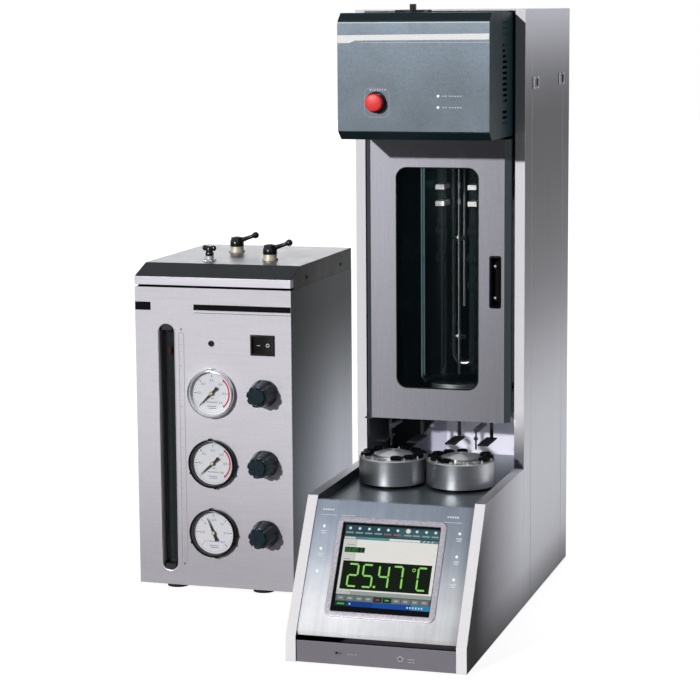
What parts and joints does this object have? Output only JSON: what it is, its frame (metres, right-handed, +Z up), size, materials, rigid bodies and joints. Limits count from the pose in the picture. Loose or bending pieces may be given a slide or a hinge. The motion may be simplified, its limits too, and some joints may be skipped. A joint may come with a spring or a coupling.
{
  "type": "kinematic viscosity tester",
  "caption": "Bench kinematic viscosity tester: bath tower with glazed door, sample carousels and touch screen, and a separate pressure supply cabinet.",
  "frame": {"origin": "middle of the whole set's footprint, on the table", "axes": "+X to the right seen from the front, +Y to the back, +Z up"},
  "size_m": [0.5086, 0.5914, 0.7485],
  "materials": {
    "wall_paint": "satin paint",
    "cover_paint": "satin paint",
    "fascia_paint": "satin paint",
    "head_paint": "satin paint",
    "head_metal": "brushed and tinted",
    "panel_metal": "brushed",
    "deck_steel": "polished",
    "bezel_metal": "satin",
    "screen_glass": "glossy display",
    "drum_metal": "turned",
    "vial_glass": "clear",
    "needle_steel": "bright",
    "black_plastic": "fine grain",
    "jar_glass": "clear",
    "bath_glass": "clear",
    "white_plastic": "smooth",
    "motor_metal": "satin",
    "heater_steel": "bright",
    "bath_metal": "black anodised",
    "door_paint": "satin paint",
    "window_glass": "tinted",
    "red_plastic": "glossy",
    "lamp_plastic": "clear lens",
    "chrome_metal": "bright",
    "foot_rubber": "matte",
    "supply_paint": "satin paint",
    "supply_metal": "brushed",
    "lid_paint": "satin paint",
    "float_plastic": "smooth",
    "tank_plastic": "smooth",
    "valve_brass": "turned",
    "gauge_black": "satin paint",
    "hand_paint": "matte"
  },
  "bodies": {
    "cabinet": {"base_pan": "fascia_paint", "cheek_left": "wall_paint", "cheek_right": "wall_paint", "tower_side_left": "wall_paint", "tower_side_right": "wall_paint", "tower_cover": "cover_paint", "control_panel": "panel_metal", "carousel_deck": "deck_steel", "inner_panels": "deck_steel", "bath_plate": "bath_metal", "screen_bezel": "bezel_metal", "touch_screen": "screen_glass", "carousel_motors": "motor_metal", "sensor_arms": "black_plastic", "bath_jar": "jar_glass", "bath_head": "bath_metal", "viscometer_tubes": "bath_glass", "tube_clips": "white_plastic", "stirrer_motor": "motor_metal", "bath_heater": "heater_steel", "door_hinges": "needle_steel", "head_cover": "head_paint", "head_panel": "head_metal", "top_cap": "black_plastic", "side_sockets": "chrome_metal", "indicator_leds": "lamp_plastic", "rubber_feet": "foot_rubber", "rear_fittings": "black_plastic", "supply_shell": "supply_paint", "supply_front": "supply_metal", "supply_lid": "lid_paint", "lid_trim": "bezel_metal", "level_tube": "bath_glass", "supply_tank": "tank_plastic", "valve_bodies": "valve_brass", "gauge_cases": "gauge_black", "gauge_lenses": "bath_glass", "switch_frame": "black_plastic"},
    "door": {"door_shell": "door_paint", "door_glass": "window_glass", "door_handle": "black_plastic"},
    "stirrer": {"stirrer": "needle_steel"},
    "needle_left": {"needle_left": "needle_steel"},
    "needle_right": {"needle_right": "needle_steel"},
    "carousel_left": {"carousel_left": "drum_metal", "vials_left": "vial_glass"},
    "carousel_right": {"carousel_right": "drum_metal", "vials_right": "vial_glass"},
    "push_button": {"push_button": "red_plastic"},
    "rocker": {"rocker": "black_plastic"},
    "vent_knob": {"vent_knob": "black_plastic"},
    "level_float": {"level_float": "float_plastic"},
    "gauge_hand_1": {"gauge_hand_1": "hand_paint"},
    "regulator_knob_1": {"regulator_knob_1": "black_plastic"},
    "gauge_hand_2": {"gauge_hand_2": "hand_paint"},
    "regulator_knob_2": {"regulator_knob_2": "black_plastic"},
    "gauge_hand_3": {"gauge_hand_3": "hand_paint"},
    "regulator_knob_3": {"regulator_knob_3": "black_plastic"},
    "clamp_lever_1": {"clamp_lever_1": "black_plastic"},
    "clamp_lever_2": {"clamp_lever_2": "black_plastic"}
  },
  "joints": [
    {"name": "door_hinge", "type": "hinge", "parent": "cabinet", "child": "door", "pos_m": [0.0568, 0.00025, 0.411], "axis": [0, 0, -1], "range_deg": [0, 110]},
    {"name": "stirrer_spin", "type": "hinge", "parent": "cabinet", "child": "stirrer", "pos_m": [0.1447, 0.10425, 0.45], "axis": [0, 0, 1], "continuous": true},
    {"name": "carousel_left_spin", "type": "hinge", "parent": "cabinet", "child": "carousel_left", "pos_m": [0.1022, -0.05975, 0.18], "axis": [0, 0, 1], "continuous": true},
    {"name": "carousel_right_spin", "type": "hinge", "parent": "cabinet", "child": "carousel_right", "pos_m": [0.1872, -0.05975, 0.18], "axis": [0, 0, 1], "continuous": true},
    {"name": "needle_left_dip", "type": "slide", "parent": "cabinet", "child": "needle_left", "axis": [0, 0, -1], "range_m": [0, 0.02]},
    {"name": "needle_right_dip", "type": "slide", "parent": "cabinet", "child": "needle_right", "axis": [0, 0, -1], "range_m": [0, 0.02]},
    {"name": "button_press", "type": "slide", "parent": "cabinet", "child": "push_button", "axis": [0, 1, 0], "range_m": [0, 0.004], "stiffness_N_per_m": 300},
    {"name": "gauge_hand_1_turn", "type": "hinge", "parent": "cabinet", "child": "gauge_hand_1", "pos_m": [-0.1511, -0.01225, 0.077], "axis": [0, 1, 0], "range_deg": [-113, 157], "stiffness_Nm_per_rad": 0.001},
    {"name": "regulator_knob_1_turn", "type": "hinge", "parent": "cabinet", "child": "regulator_knob_1", "pos_m": [-0.0808, -0.02575, 0.08], "axis": [0, 1, 0], "range_deg": [-450, 450]},
    {"name": "gauge_hand_2_turn", "type": "hinge", "parent": "cabinet", "child": "gauge_hand_2", "pos_m": [-0.1511, -0.01225, 0.168], "axis": [0, 1, 0], "range_deg": [0, 270], "stiffness_Nm_per_rad": 0.001},
    {"name": "regulator_knob_2_turn", "type": "hinge", "parent": "cabinet", "child": "regulator_knob_2", "pos_m": [-0.0808, -0.02575, 0.171], "axis": [0, 1, 0], "range_deg": [-450, 450]},
    {"name": "gauge_hand_3_turn", "type": "hinge", "parent": "cabinet", "child": "gauge_hand_3", "pos_m": [-0.1511, -0.01225, 0.259], "axis": [0, 1, 0], "range_deg": [0, 270], "stiffness_Nm_per_rad": 0.001},
    {"name": "regulator_knob_3_turn", "type": "hinge", "parent": "cabinet", "child": "regulator_knob_3", "pos_m": [-0.0808, -0.02575, 0.262], "axis": [0, 1, 0], "range_deg": [-450, 450]},
    {"name": "rocker_tip", "type": "hinge", "parent": "cabinet", "child": "rocker", "pos_m": [-0.0823, -0.00775, 0.323], "axis": [0, 0, -1], "range_deg": [0, 22]},
    {"name": "clamp_lever_1_turn", "type": "hinge", "parent": "cabinet", "child": "clamp_lever_1", "pos_m": [-0.1789, 0.17225, 0.43], "axis": [0, 0, 1], "range_deg": [-100, 100]},
    {"name": "clamp_lever_2_turn", "type": "hinge", "parent": "cabinet", "child": "clamp_lever_2", "pos_m": [-0.1038, 0.08725, 0.43], "axis": [0, 0, 1], "range_deg": [-100, 100]},
    {"name": "vent_turn", "type": "hinge", "parent": "cabinet", "child": "vent_knob", "pos_m": [-0.1784, 0.06275, 0.43], "axis": [0, 0, 1], "range_deg": [-180, 180]},
    {"name": "level_float_rise", "type": "slide", "parent": "cabinet", "child": "level_float", "axis": [0, 0, 1], "range_m": [-0.24, 0.016]}
  ]
}
